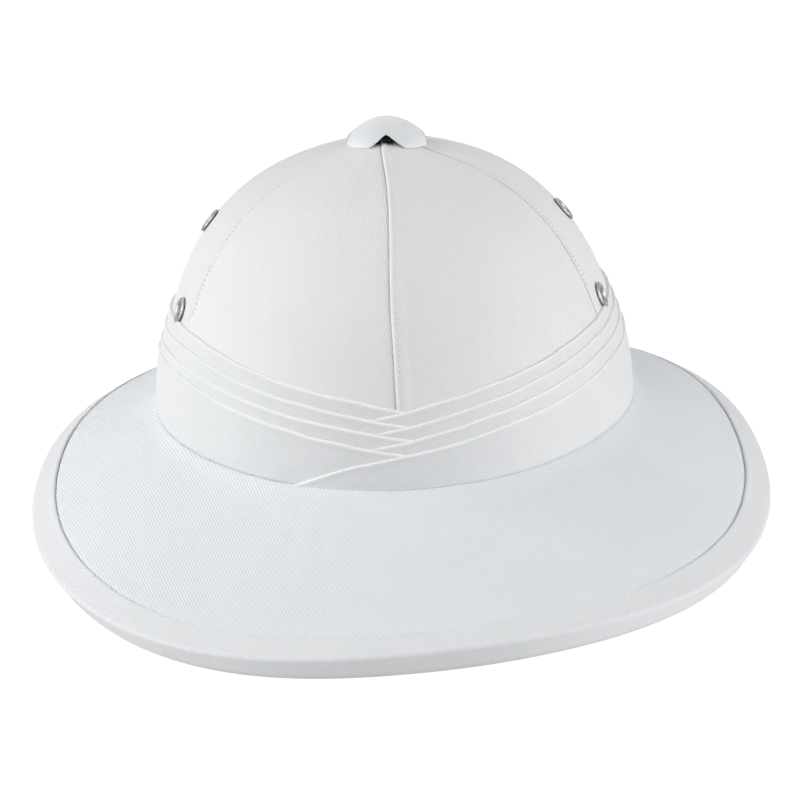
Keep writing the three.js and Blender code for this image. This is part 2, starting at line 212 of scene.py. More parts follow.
def waver(first, second, size, seed):
    """Slow uneven hand-made waves: four sines of both lengths with fixed phases."""
    phases = np.random.default_rng(seed).uniform(0, 2 * np.pi, 8)
    total = 0 * (first + second)
    for turn in range(4):
        length = size * (0.6 + 0.45 * turn)
        across = np.sin(2 * np.pi * first / length + phases[turn])
        total = total + across * np.sin(2 * np.pi * second / length + phases[4 + turn])
    return total / 2


# ---------- meshes ----------
def mesh_piece(name, points, faces, corner_uv=None, edge=None):
    """A mesh of four-sided faces from arrays, turned outwards from the crown's middle."""
    used, faces = np.unique(faces, return_inverse=True)
    points, faces = points.reshape(-1, 3)[used], faces.reshape(-1, 4)
    middle = points - np.array([0, 0, 30.0])
    a, b, c, d = (middle[faces[:, corner]] for corner in range(4))
    if np.sum(a * np.cross(c - a, d - b)) * 0.5 < 0:
        faces = faces[:, ::-1]
        corner_uv = None if corner_uv is None else corner_uv[:, ::-1]
    mesh = bpy.data.meshes.new(name)
    mesh.vertices.add(len(points))
    mesh.vertices.foreach_set("co", (points * 0.001 + ORIGIN).ravel())
    mesh.loops.add(faces.size)
    mesh.loops.foreach_set("vertex_index", faces.astype(np.int32).ravel())
    mesh.polygons.add(len(faces))
    mesh.polygons.foreach_set("loop_start", np.arange(0, faces.size, 4, dtype=np.int32))
    mesh.update(calc_edges=True)
    mesh.polygons.foreach_set("use_smooth", np.ones(len(faces), dtype=bool))
    if corner_uv is not None:
        layer = mesh.uv_layers.new(name="Cut")
        layer.data.foreach_set("uv", corner_uv.ravel())
    # Edge: a painted highlight along folded edges, stored on the points.
    if edge is not None:
        painted_highlight = mesh.attributes.new("Edge", "FLOAT", "POINT")
        painted_highlight.data.foreach_set("value", edge.ravel()[used].astype(np.float32))
    piece = bpy.data.objects.new(name, mesh)
    bpy.context.scene.collection.objects.link(piece)
    return piece


def grid_piece(
    name, points, wrap=(False, False), uv=None, leave_out=None, ends=False, edge=None
):
    """A surface over a grid of points. It may close on itself either way, leave cells
    out, and, where it is a tube that wraps the second way, close its ends in pairs."""
    rows, columns = points.shape[:2]
    i, j = np.meshgrid(
        np.arange(rows if wrap[0] else rows - 1),
        np.arange(columns if wrap[1] else columns - 1),
        indexing="ij",
    )
    corners = [(i, j), (i + 1, j), (i + 1, j + 1), (i, j + 1)]
    faces = np.stack([(a % rows) * columns + b % columns for a, b in corners], axis=-1)
    kept = np.ones(i.shape, bool) if leave_out is None else ~leave_out
    corner_uv = None
    if uv is not None:
        corner_uv = np.stack([uv[a, b] for a, b in corners], axis=-2)[kept]
    faces = faces[kept]
    if ends:
        k = np.arange(columns // 2 - 1)
        cap = np.stack([k, k + 1, columns - 2 - k, columns - 1 - k], axis=-1)
        faces = np.concatenate([faces, cap, cap[:, ::-1] + (rows - 1) * columns])
        if corner_uv is not None:
            flat = np.tile(uv[0, 0], (2 * len(cap), 4, 1))
            corner_uv = np.concatenate([corner_uv, flat])
    return mesh_piece(name, points, faces, corner_uv, edge)


def weld(piece):
    """Joins the points that meet at a pole, so that no face is left folded flat."""
    work = bmesh.new()
    work.from_mesh(piece.data)
    bmesh.ops.remove_doubles(work, verts=work.verts, dist=1e-7)
    bmesh.ops.recalc_face_normals(work, faces=work.faces)
    work.to_mesh(piece.data)
    work.free()
    return piece


def thicken(piece, millimetres):
    """Gives a one-sided cloth its wall, on the inner side."""
    wall = piece.modifiers.new("Wall", "SOLIDIFY")
    wall.thickness = millimetres / 1000
    wall.offset = -1
    wall.use_even_offset = False
    return piece


def tell(piece, material, slot, *nodes):
    """Material, ride and the model parts that the piece stands for; slot is not used."""
    piece.data.materials.append(material)
    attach(piece, "root")
    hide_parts(*nodes)
    return piece


# ---------- finishes ----------
def new_finish(name, roughness, **sockets):
    """A node material and its shader, with the plain values set on the shader."""
    finish = bpy.data.materials.new(name)
    finish.use_nodes = True
    nodes, links = finish.node_tree.nodes, finish.node_tree.links
    shader = nodes["Principled BSDF"]
    shader.inputs["Roughness"].default_value = roughness
    for socket, value in sockets.items():
        shader.inputs[socket.replace("_", " ")].default_value = value
    return finish, nodes, links, shader


# Painted highlight: the near white that folded edges are mixed towards, as light catching them.
FOLD_HIGHLIGHT_WHITE = (0.97, 0.97, 0.97, 1)


def twill(name, colour, rib_turn, pitch, ribs=0.07, relief=0.12, source="UV", unit_size=1.0):
    """Cotton twill: slanting ribs as a sine across the cloth at the rib pitch, a little
    uneven, with painted shade in the grooves between ribs, a slow change of tone, and a
    painted highlight, paler, where the Edge attribute marks a folded edge."""
    finish, nodes, links, shader = new_finish(
        name, 0.88, Sheen_Weight=0.15, Sheen_Roughness=0.5, Specular_IOR_Level=0.2
    )
    place = nodes.new("ShaderNodeTexCoord")
    turned = nodes.new("ShaderNodeMapping")
    turned.inputs["Rotation"].default_value[2] = -math.radians(rib_turn + 90)
    turned.inputs["Scale"].default_value = [unit_size] * 3
    links.new(place.outputs[source], turned.inputs["Vector"])
    rib = nodes.new("ShaderNodeTexWave")
    rib.inputs["Scale"].default_value = math.pi / (10 * pitch)
    rib.inputs["Distortion"].default_value = 0.5
    rib.inputs["Detail"].default_value = 2.0
    rib.inputs["Detail Scale"].default_value = 1.5
    links.new(turned.outputs["Vector"], rib.inputs["Vector"])
    tone = nodes.new("ShaderNodeTexNoise")
    tone.inputs["Scale"].default_value = 0.035
    tone.inputs["Detail"].default_value = 4.0
    links.new(turned.outputs["Vector"], tone.inputs["Vector"])
    # Painted shade: the colour darkens by up to ribs where the rib wave is low, in the grooves
    # between ribs.
    shade = nodes.new("ShaderNodeMapRange")
    shade.inputs["To Min"].default_value = 1 - ribs
    shade.inputs["To Max"].default_value = 1.0
    links.new(rib.outputs["Fac"], shade.inputs["Value"])
    slow = nodes.new("ShaderNodeMapRange")
    slow.inputs["From Min"].default_value = 0.3
    slow.inputs["From Max"].default_value = 0.7
    slow.inputs["To Min"].default_value = 0.975
    slow.inputs["To Max"].default_value = 1.0
    links.new(tone.outputs["Fac"], slow.inputs["Value"])
    both = nodes.new("ShaderNodeMath")
    both.operation = "MULTIPLY"
    links.new(shade.outputs["Result"], both.inputs[0])
    links.new(slow.outputs["Result"], both.inputs[1])
    dye = nodes.new("ShaderNodeMix")
    dye.data_type = "RGBA"
    dye.blend_type = "MULTIPLY"
    dye.inputs["Factor"].default_value = 1.0
    dye.inputs["A"].default_value = (*colour, 1)
    links.new(both.outputs[0], dye.inputs["B"])
    # Painted highlight: the Edge attribute mixes the colour towards near white along folded edges.
    fold_highlight = nodes.new("ShaderNodeAttribute")
    fold_highlight.attribute_name = "Edge"
    highlight_mix = nodes.new("ShaderNodeMix")
    highlight_mix.data_type = "RGBA"
    highlight_mix.inputs["B"].default_value = FOLD_HIGHLIGHT_WHITE
    links.new(fold_highlight.outputs["Fac"], highlight_mix.inputs["Factor"])
    links.new(dye.outputs["Result"], highlight_mix.inputs["A"])
    links.new(highlight_mix.outputs["Result"], shader.inputs["Base Color"])
    bump = nodes.new("ShaderNodeBump")
    bump.inputs["Strength"].default_value = 0.6
    bump.inputs["Distance"].default_value = relief / 1000
    links.new(rib.outputs["Fac"], bump.inputs["Height"])
    links.new(bump.outputs["Normal"], shader.inputs["Normal"])
    return finish


def mottled(name, dark, light, grain, roughness, relief, **sockets):
    """A plain finish whose colour and surface vary with a noise of the given grain in
    millimetres."""
    finish, nodes, links, shader = new_finish(name, roughness, **sockets)
    place = nodes.new("ShaderNodeTexCoord")
    noise = nodes.new("ShaderNodeTexNoise")
    noise.inputs["Scale"].default_value = 1000 / grain
    noise.inputs["Detail"].default_value = 5.0
    links.new(place.outputs["Object"], noise.inputs["Vector"])
    ramp = nodes.new("ShaderNodeValToRGB")
    ramp.color_ramp.elements[0].position = 0.3
    ramp.color_ramp.elements[0].color = (*dark, 1)
    ramp.color_ramp.elements[1].position = 0.7
    ramp.color_ramp.elements[1].color = (*light, 1)
    links.new(noise.outputs["Fac"], ramp.inputs["Fac"])
    links.new(ramp.outputs["Color"], shader.inputs["Base Color"])
    bump = nodes.new("ShaderNodeBump")
    bump.inputs["Strength"].default_value = 0.5
    bump.inputs["Distance"].default_value = relief / 1000
    links.new(noise.outputs["Fac"], bump.inputs["Height"])
    links.new(bump.outputs["Normal"], shader.inputs["Normal"])
    return finish


WHITE = (0.85, 0.85, 0.854)
BRIM_WHITE = (0.85, 0.877, 0.917)
BAND_WHITE = (0.825, 0.836, 0.85)
TAPE_WHITE = (0.815, 0.83, 0.85)
# ribs: how far painted shade darkens the grooves between the twill ribs.
gore_cloths = {
    "steep": twill("cover_twill_steep", WHITE, rib_turn=-62.0, pitch=1.0, ribs=0.11),
    "slanting": twill("cover_twill_slanting", WHITE, rib_turn=-42.0, pitch=1.0, ribs=0.15),
}
brim_twill = twill(
    "brim_twill", BRIM_WHITE, rib_turn=-72.0, pitch=0.95, ribs=0.16, source="Object",
    unit_size=1000.0,
)
band_twill = twill("band_twill", BAND_WHITE, rib_turn=40.0, pitch=0.95, ribs=0.16, relief=0.15)
tape_twill = twill("tape_twill", TAPE_WHITE, rib_turn=52.0, pitch=1.0)
pith_finish = mottled("pith", (0.42, 0.33, 0.2), (0.62, 0.52, 0.36), 6.0, 0.95, 0.4)
nickel_finish = mottled(
    "nickel", (0.2, 0.2, 0.2), (0.36, 0.36, 0.35), 1.5, 0.38, 0.02, Metallic=1.0
)
cap_finish = mottled(
    "cap_paint", (0.68, 0.7, 0.715), (0.72, 0.74, 0.755), 9.0, 0.42, 0.05, Coat_Weight=0.15
)
black_finish = mottled("vent_black", (0.008, 0.008, 0.009), (0.02, 0.02, 0.022), 2.0, 0.8, 0.1)
# The grey of the thread, darker than the cloth, is painted shade: it stands for the shadows in the
# stitch holes.
thread_and_shade_finish = mottled("seam_thread_and_shade", (0.58, 0.58, 0.59), (0.7, 0.7, 0.7), 0.8, 0.9, 0.05)


# ---------- crown ----------
def above_joint(angle, latitudes):
    """Latitudes counted from the joint's own height at each angle up to the last one."""
    foot = latitude_at(np.maximum(joint_height(angle), 0) + GAP)
    return foot + latitudes * (1 - foot / np.max(latitudes))


def eyelet_centre(name):
    """Where an eyelet's axis meets the dome."""
    angle, height = EYELETS[name]
    return crown_face(np.float64(angle), latitude_at(height), 0.0)


def near_eyelet(points, reach):
    """Cells of a grid whose middle lies within reach of an eyelet."""
    middle = (points[1:, 1:] + points[:-1, 1:] + points[1:, :-1] + points[:-1, :-1]) / 4
    found = np.zeros(middle.shape[:2], bool)
    for name in EYELETS:
        found |= np.linalg.norm(middle - eyelet_centre(name), axis=-1) < reach
    return found


def latitude_of(radius):
    """Latitude at which the dome's plan has this half width."""
    return np.degrees(np.arccos((radius / CROWN_HALF_WIDTH) ** (1 / SHOULDER)))


def pith_crown():
    """The pith dome, from the joint to the vent hole, with holes at the eyelets."""
    angles = np.linspace(-180, 180, 241)[:, None]
    top = latitude_of(VENT_RADIUS)
    latitudes = np.concatenate([np.linspace(0, 75, 52)[:-1], np.linspace(75, top, 16)])
    rows = above_joint(angles, latitudes[None, :])
    points = crown_face(angles, rows, -PITH_OUT + 0 * angles)[:-1]
    holes = near_eyelet(np.concatenate([points, points[:1]]), PITH_HOLE)
    piece = grid_piece("pith_crown", points, wrap=(True, False), leave_out=holes)
    return thicken(piece, PITH_IN - PITH_OUT)


def run_along(line):
    """Length of a line of points up to each of them."""
    return np.concatenate([[0], np.cumsum(np.linalg.norm(np.diff(line, axis=0), axis=-1))])


def seam_swing(angle, latitude):
    """Degrees by which the front seam leans towards the cap near the top."""
    return 2.6 * ease(latitude, 40, 84) * np.clip(1 - np.abs(angle) / 65, 0, 1)


# Steps across the folded edge of a gore, from the fold to where the cloth lies flat.
FOLD_STEPS = np.array(
    [0, 0.08, 0.18, 0.3, 0.45, 0.7, 1.0, 1.3, 1.6, 1.9, 2.3, 2.8, 3.4, 4.0, 4.7, 5.5, 6.5]
)


def plan_radius(angle, latitudes):
    """Length round the dome per radian of angle, over one degree about the angle."""
    step = crown_base(angle + 0.5, latitudes) - crown_base(angle - 0.5, latitudes)
    return np.linalg.norm(step, axis=-1) / np.radians(1)


def gore_cloth(name):
    """One gore. Its first edge is folded under and laid over its neighbour: across the
    seam the face rises as a quarter round, stays up to where the turned-in cloth ends
    and eases down. Its last edge dips under the next gore."""
    start, end, raised = GORES[name]
    latitudes = np.concatenate(
        [np.linspace(0, 72, 62)[:-1], np.linspace(72, latitude_of(VENT_RADIUS + 0.6), 34)]
    )
    middle = (start + end) / 2
    radius = plan_radius(middle, latitudes)
    width = np.radians(end - start) * radius[:, None]
    squeeze = np.minimum(1, width / 26)
    rest = np.linspace(0, 1, 64)[1:] * (width - FOLD_STEPS[-1] * squeeze)
    across = np.concatenate(
        [FOLD_STEPS * squeeze, FOLD_STEPS[-1] * squeeze + rest], axis=1
    )
    angles = start + (end - start) * (across - 0.5 * squeeze) / width
    angles = angles + seam_swing(angles, latitudes[:, None])
    flat = across / squeeze
    left_over = (width - across) / squeeze
    heights = crown_base(0.0, latitudes)[:, 2][:, None]
    full = raised * ease(heights, 19, 26)
    nose = np.sqrt(np.clip(1 - (1 - np.minimum(flat / 0.45, 1)) ** 2, 0, 1))
    lift = full * nose * (1 - ease(flat, 3.4, 6.2)) - 0.12 * (1 - nose)
    lift = lift - 0.1 * raised * np.exp(-(((flat - 1.8) / 0.4) ** 2))
    lift = lift - 0.16 * ease(-left_over, -1.2, -0.4)
    lift = lift + 0.05 * waver(across, heights, 26.0, len(name) + abs(start))
    points = crown_face(angles, above_joint(angles, latitudes[:, None]), lift)
    climb = run_along(crown_base(middle, latitudes))
    uv = np.stack(np.broadcast_arrays(across - width / 2, climb[:, None]), axis=-1)
    # Edge: a painted highlight along the raised folded first edge, as light catching it.
    piece = grid_piece(
        f"gore_cloth_{name}",
        points,
        uv=uv,
        leave_out=near_eyelet(points, CLOTH_HOLE),
        edge=full * np.exp(-(((flat - 0.5) / 0.5) ** 2)),
    )
    return thicken(piece, GORE_WALL)


tell(pith_crown(), pith_finish, "pith", "crown_shell")
for name in GORES:
    style = "steep" if name in ("front_left", "side_right", "back_left") else "slanting"
    cloth = tell(gore_cloth(name), gore_cloths[style], "cover_cloth", f"gore_{name}")


def small_round(length, thickness, rings=5, sides=6):
    """A stitch: a rod with rounded ends, bowed a little outwards along its length."""
    along = np.linspace(-1, 1, rings)[:, None]
    turn = np.linspace(0, 2 * np.pi, sides, endpoint=False)[None, :]
    fat = np.sqrt(np.clip(1 - along**4, 0, 1))
    x = thickness / 2 * fat * np.cos(turn)
    z = thickness / 2 * fat * np.sin(turn) + 0.12 * (1 - along**2)
    return np.stack(np.broadcast_arrays(x, length / 2 * along, z), axis=-1)


def rod_faces(rings, sides, count):
    """Faces of a number of rods, each a run of rings with so many sides."""
    i, j = np.meshgrid(np.arange(rings - 1), np.arange(sides), indexing="ij")
    near, far, over = i * sides, (i + 1) * sides, (j + 1) % sides
    one = np.stack([near + j, far + j, far + over, near + over], axis=-1).reshape(-1, 4)
    return (one[None] + (np.arange(count) * rings * sides)[:, None, None]).reshape(-1, 4)


def seam_stitches(seam, from_height, raised):
    """A row of stitches up a seam: rods at an even pitch along the dome, a little aside of
    the fold, each laid on the raised cloth in the frame of the dome's own directions."""
    low = latitude_at(from_height)
    latitudes = np.linspace(low, 86, 400)
    run = run_along(crown_base(float(seam), latitudes))
    places = np.interp(np.arange(1, run[-1], STITCH_PITCH), run, latitudes)
    radius = plan_radius(seam, places)
    angle = seam + np.degrees((STITCH_ASIDE - 0.5) / np.maximum(radius, 12))
    angle = angle + seam_swing(angle, places)
    centre = crown_face(angle, places, raised * 0.84)
    up = unit(crown_base(angle, places + 0.2) - crown_base(angle, places - 0.2))
    side = unit(crown_base(angle + 0.2, places) - crown_base(angle - 0.2, places))
    out = np.cross(side, up)
    shape = small_round(1.0, STITCH_THICK)
    points = (
        centre[:, None, None]
        + shape[..., 0:1] * side[:, None, None]
        + shape[..., 1:2] * up[:, None, None]
        + shape[..., 2:3] * out[:, None, None]
    )
    return points, rod_faces(*shape.shape[:2], len(centre))


# Seams with a row of stitches, the height where the row comes out of the band, and the gore
# whose folded edge it holds.
SEAM_ROWS = [
    (0, 26, "front_right"), (65, 48, "side_right"), (-65, 48, "front_left"), (180, 48, "back_left")
]
for seam, row_foot, gore in SEAM_ROWS:
    points, faces = seam_stitches(seam, row_foot, GORES[gore][2])
    stitches = mesh_piece(f"seam_stitches_{seam % 360}", points, faces)
    tell(weld(stitches), thread_and_shade_finish, "cover_cloth", f"gore_{gore}")


# ---------- brim ----------
def rounded(centre, radius, start, end, steps=7):
    """An arc of a profile, in degrees, as (inset, height) pairs."""
    turn = np.radians(np.linspace(start, end, steps))
    return np.asarray(centre) + radius * np.stack([np.cos(turn), np.sin(turn)], axis=-1)


BRIM_ANGLES = np.linspace(-180, 180, 481)[:-1]


def brim_cloth():
    """The covered brim: top cloth from the crown to under the tape, a rounded edge, the
    underside back to the opening and the wall of the opening, as one closed profile carried
    round the rim. A small bell curve turns the cloth up at its root, and one pressed crease
    runs out from the band."""
    angle = BRIM_ANGLES[:, None]
    shares = np.linspace(0, SUNK_BY, 30)
    relief = 0.1 * waver(angle * 1.6, shares * 60, 30.0, 5)
    crease = np.exp(-(((angle + 21.5) / 0.55) ** 2)) * (1 - ease(shares, 0.35, 0.6))
    edge = TAPE_THICK + GAP
    drop = -CLOTH_SINK * np.minimum(1, shares / SUNK_BY)
    turned_up = ROOT_RISE * ease(shares, 0.0, 0.02) * np.exp(-((shares / ROOT_SHARE) ** 2))
    ripple = (relief - 0.35 * crease) * ease(shares, 0.0, 0.1)
    top = brim_face(angle, shares, drop + turned_up + ripple)
    low = edge + BRIM_CORE
    tip = np.concatenate(
        [
            [[TAPE_TOP + 3, -CLOTH_SINK], [TAPE_TOP + 1.2, -CLOTH_SINK]],
            [[TAPE_TOP - 0.6, -edge], [6, -edge]],
            rounded((edge + 1.6, -edge - 1.6), -1.6, 270, 360),
            rounded((edge + 2.6, -low + 2.6), -2.6, 0, 90),
        ]
    )
    over = from_rim(angle, tip[:, 0], tip[:, 1])
    back = shares[::-1]
    sunk = -edge * np.minimum(1, back / SUNK_BY)
    under = brim_face(angle, back, sunk - BRIM_CORE + 0.1 * relief)
    under[:, -1] = joint_line(BRIM_ANGLES) - [0, 0, BRIM_CORE]
    wall = joint_line(BRIM_ANGLES, PITH_IN)[:, None]
    foot = wall - [0, 0, BRIM_CORE]
    inner = wall + (top[:, :1] - wall) * 0.5
    points = np.concatenate([wall, inner, top, over, under, foot], axis=1)
    return grid_piece("brim_cloth", points, wrap=(True, True))


def rim_tape():
    """The binding: a wrapped strip with a flat top, a rounded edge, an upright face and a
    round turn to the underside; its top inner edge stands up a little."""
    angle = BRIM_ANGLES[:, None]
    thick, top, under = TAPE_THICK, TAPE_TOP, TAPE_UNDER
    flat = np.linspace(top - 0.4, 2.4, 14)
    outside = np.concatenate(
        [
            [[top, -0.75], [top + 0.05, -0.35], [top - 0.12, -0.05]],
            np.stack([flat, 0.16 * np.exp(-(((top - 1.0 - flat) / 1.2) ** 2))], axis=-1),
            rounded((1.6, -1.6), 1.6, 90, 180),
            np.stack([np.full(4, 0.0), np.linspace(-2.5, -5.8, 4)], axis=-1),
            rounded((3.0, -TAPE_EDGE + 3.0), 3.0, 180, 270),
            np.stack([np.linspace(4.5, under, 6), np.full(6, -TAPE_EDGE)], axis=-1),
        ]
    )
    inside = np.concatenate(
        [
            np.stack([np.linspace(under, 4.5, 6), np.full(6, -TAPE_EDGE + thick)], axis=-1),
            rounded((3.0, -TAPE_EDGE + 3.0), 2.0, 270, 180),
            np.stack([np.full(4, thick), np.linspace(-5.8, -2.5, 4)], axis=-1),
            rounded((1.6, -1.6), 0.6, 180, 90),
            np.stack([flat[::-1], np.full(14, -thick)], axis=-1),
        ]
    )
    profile = np.concatenate([outside, inside])
    ripple = 0.09 * waver(BRIM_ANGLES * 2.4, 0 * BRIM_ANGLES, 22.0, 9)[:, None]
    points = from_rim(angle, profile[:, 0] + ripple * (profile[:, 0] > 8), profile[:, 1])
    points[..., 2] = np.maximum(points[..., 2], 0.02 - ORIGIN[2] * 1000)
    closed = np.concatenate([points, points[:1]])
    along = run_along(closed[:, 16])
    across = -run_along(np.concatenate([profile, profile[:1]]))
    uv = np.stack(np.broadcast_arrays(along[:, None], across[None, :]), axis=-1)
    return grid_piece("rim_tape", points, wrap=(True, True), uv=uv)


tell(brim_cloth(), brim_twill, "cover_cloth", "brim")
tape = tell(rim_tape(), tape_twill, "binding_tape", "brim_binding")


# ---------- pleated band ----------
def fold_height(heights, away):
    """Height of a folded edge: a steep start from the front that levels towards the side,
    then a slow change to the back. Past the front it goes on falling the same way."""
    front, side, back = heights
    ahead = front + (side - front) * (1 - np.clip(1 - away / 90, 0, 3) ** FOLD_SWEEP)
    return np.where(away > 90, side + (back - side) * ease(away, 90, 180), ahead)


def band_face(angle, height, offset):
    """A point so far up and out on the crown; below the joint it goes straight down."""
    latitude = latitude_at(np.maximum(height, 0))
    point = crown_face(angle, latitude, offset)
    point[..., 2] += np.minimum(height, 0)
    return point


def brim_slope(angle):
    """Fall of the brim beside the joint, per millimetre outwards."""
    near, far = brim_base(angle, 0 * angle), brim_base(angle, 0 * angle + 0.05)
    return (near - far)[..., 2] / np.linalg.norm((near - far)[..., :2], axis=-1)


def layer_depth(side, fold, angle):
    """How far out a fold lies: at the sides one step for each fold, at the front the left
    and right folds go over one another in turn, at the back the right ones lie on top."""
    beside = 0.5 + 0.45 * fold
    front = 0.4 + 0.29 * (2 * fold + side)
    behind = beside + 1.7 * side
    away = np.abs(angle)
    depth = front + (beside - front) * ease(away, 25, 50)
    return depth + (behind - beside) * ease(away, 148, 168)


# Rows close below a folded edge of the band, before the even rows down to the brim.
EDGE_ROWS = np.array([0, 0.1, 0.25, 0.45, 0.7, 1.0, 1.4, 1.9, 2.6, 3.5, 4.6])


def band_fold(side, fold, start, end):
    """One fold of the band: a thin closed strip from its folded edge down to the brim.
    Its face starts inside the fold beneath, comes out as a quarter round, swells to a bead
    of doubled cloth and falls back behind it. A hidden front end keeps no bead."""
    sign = 1 if side else -1
    heights = (RIGHT_FOLDS if side else LEFT_FOLDS)[fold]
    angle = np.linspace(start, end, int(abs(end - start) / 0.6) + 1)[:, None]
    away = angle * sign
    settle = ease(away, 56, 98) * (1 - ease(away, 120, 165))
    lowest = side == 1 and fold == 3
    sink = 4.6 * ease(-away, 9, 29) if lowest else (0 if side else 5.2) * settle
    wave = 0.22 * waver(angle * 1.7, 0 * angle, 34.0, 3 * fold + side)
    top = fold_height(heights, away) - sink + wave
    shown = 1.0 if lowest else ease(away, -8, -3)
    depth = layer_depth(side, fold, angle) - 0.12 * (1 - shown)
    foot = joint_height(angle) - brim_slope(angle) * (depth + 0.6) + 0.1
    foot = foot + ROOT_RISE * np.exp(-(((depth + 0.6) / ROOT_REACH) ** 2))
    top = np.maximum(top, foot + 0.05)
    length = top - foot
    close = np.minimum(EDGE_ROWS[None, :] / length, 1)
    below = close[:, -1:] + (1 - close[:, -1:]) * np.linspace(0, 1, 13)[None, 1:]
    down = np.concatenate([close, below], axis=1) * length
    bead = 0.22 * shown * np.exp(-(((down - 0.7) / 0.8) ** 2))
    nose = np.sqrt(np.clip(1 - (1 - np.minimum(down / 0.5, 1)) ** 2, 0, 1))
    sway = 0.1 * waver(angle * 1.7, down, 24.0, 11 + 3 * fold + side)
    hollow = -0.12 * np.exp(-(((down - 3.4) / 1.4) ** 2))
    tucked = -0.05 if fold == 0 else depth - 0.25
    body = depth + FOLD_WALL + bead + hollow + sway * ease(down, 0.8, 4)
    face = tucked + (body - tucked) * nose
    back = tucked + (depth - tucked) * nose
    outer = band_face(angle + 0 * down, top - down, face)
    inner = band_face(angle + 0 * down, top - down, back)
    points = np.concatenate([outer, inner[:, ::-1]], axis=1)
    along = np.radians(angle) * 100
    across = np.concatenate([top - down, (top - down)[:, ::-1]], axis=1)
    uv = np.stack(np.broadcast_arrays(along, across), axis=-1)
    uv = np.concatenate([uv, uv[:, :1]], axis=1)
    name = f"band_fold_{'right' if side else 'left'}_{fold + 1}"
    # Painted highlight along each folded edge: strongest at the front, fading towards the sides.
    painted_highlight = 0.85 * shown * np.exp(-(((down - 0.45) / 0.55) ** 2))
    fold_highlight = painted_highlight * (1 - 0.75 * ease(away, 20, 75))
    fold_highlight = np.concatenate([fold_highlight, 0 * fold_highlight], axis=1)
    return grid_piece(name, points, wrap=(False, True), uv=uv, ends=True, edge=fold_highlight)


# First and last angle of each fold's strip.
LEFT_ENDS = [(-186.0, 8.0)] * 4
RIGHT_ENDS = [(-10.0, 186.0), (-10.0, 186.0), (-11.0, 186.0), (-29.0, 186.0)]
for fold in range(4):
    for side, ends in enumerate((LEFT_ENDS, RIGHT_ENDS)):
        strip = band_fold(side, fold, *ends[fold])
        node = "puggaree_right" if side else "puggaree_left"
        tell(strip, band_twill, "band_cloth", node)


# ---------- eyelets ----------
def eyelet_ring(name):
    """A rolled ring spun round the crown's normal, with its barrel and inner washer."""
    angle, height = EYELETS[name]
    latitude = latitude_at(height)
    centre = eyelet_centre(name)
    up = unit(crown_base(angle, latitude + 0.1) - crown_base(angle, latitude - 0.1))
    side = unit(crown_base(angle + 0.1, latitude) - crown_base(angle - 0.1, latitude))
    out = np.cross(side, up)
    profile = np.array(
        [
            [4.75, 0.1], [5.05, 0.2], [5.2, 0.5], [5.1, 0.85], [4.75, 1.15], [4.25, 1.3],
            [3.75, 1.22], [3.3, 0.95], [2.95, 0.5], [2.75, 0.0], [2.65, -0.8], [2.6, -2],
            [2.6, -7.4], [2.8, -8.2], [3.6, -8.5], [4.6, -8.3], [4.6, -7.7], [3.1, -7.6],
            [3.1, -0.2], [3.3, 0.1],
        ]
    )
    turn = np.linspace(0, 2 * np.pi, 48, endpoint=False)[:, None]
    radius, rise = profile[:, 0], profile[:, 1]
    points = (
        centre
        + (radius * np.cos(turn))[..., None] * side
        + (radius * np.sin(turn))[..., None] * up
        + (rise + 0 * turn)[..., None] * out
    )
    return grid_piece(f"eyelet_ring_{name}", points, wrap=(True, True))


for name in EYELETS:
    tell(eyelet_ring(name), nickel_finish, "nickel", f"eyelet_{name}")


# ---------- ventilator ----------
def crown_height(x, y):
    """Height of the cloth near the top of the crown, from its place in plan."""
    taper = np.hypot(x / CROWN_HALF_WIDTH, y / CROWN_HALF_LENGTH)
    lift = np.arccos(np.clip(taper, 0, 1) ** (1 / SHOULDER))
    return DOME * np.sin(lift) ** RISE + PEAK * (1 - taper) ** 2


def cap_dome():
    """A shallow round cap over the vent. Its lower edge follows the crown on four feet
    and rises between them in four pointed arches with rounded tops."""
    height = CAP_TOP - CAP_FOOT
    ball = (CAP_RADIUS**2 + height**2) / (2 * height)
    turn = np.linspace(0, 360, 384, endpoint=False)[:, None]
    off_arch = np.abs((turn + 45) % 90 - 45)
    spread = np.degrees(np.arcsin(ARCH_HALF / CAP_RADIUS))
    beside = off_arch / spread
    rounding = np.sqrt(beside**2 + 0.05) - math.sqrt(0.05)
    arch = np.clip(1 - rounding / (math.sqrt(1.05) - math.sqrt(0.05)), 0, 1) ** 1.12
    rim = np.full(turn.shape, np.arcsin(CAP_RADIUS / ball))
    for _ in range(6):
        x = ball * np.sin(rim) * np.sin(np.radians(turn)) + CAP_SHIFT
        y = -ball * np.sin(rim) * np.cos(np.radians(turn))
        foot = crown_height(x, y) + 0.12
        rim = np.arccos(np.clip((foot - CAP_TOP + ball) / ball, 0, 1))
    head = np.arccos((ARCH_TOP - CAP_TOP + ball) / ball)
    edge = rim + (head - rim) * arch
    share = np.linspace(0, 1, 27)[None, :] ** 0.9
    slope = edge * share
    flare = 1.3 * ease(slope, 0.45 * rim, rim)
    radius = ball * np.sin(slope) + flare
    points = np.stack(
        [
            radius * np.sin(np.radians(turn)) + CAP_SHIFT,
            -radius * np.cos(np.radians(turn)),
            CAP_TOP - ball + ball * np.cos(slope),
        ],
        axis=-1,
    )
    piece = weld(grid_piece("cap_dome", points, wrap=(True, False)))
    thicken(piece, CAP_WALL)
    soft = piece.modifiers.new("Edge", "BEVEL")
    soft.width = 0.00025
    soft.segments = 2
    soft.limit_method = "ANGLE"
    soft.angle_limit = math.radians(50)
    return piece


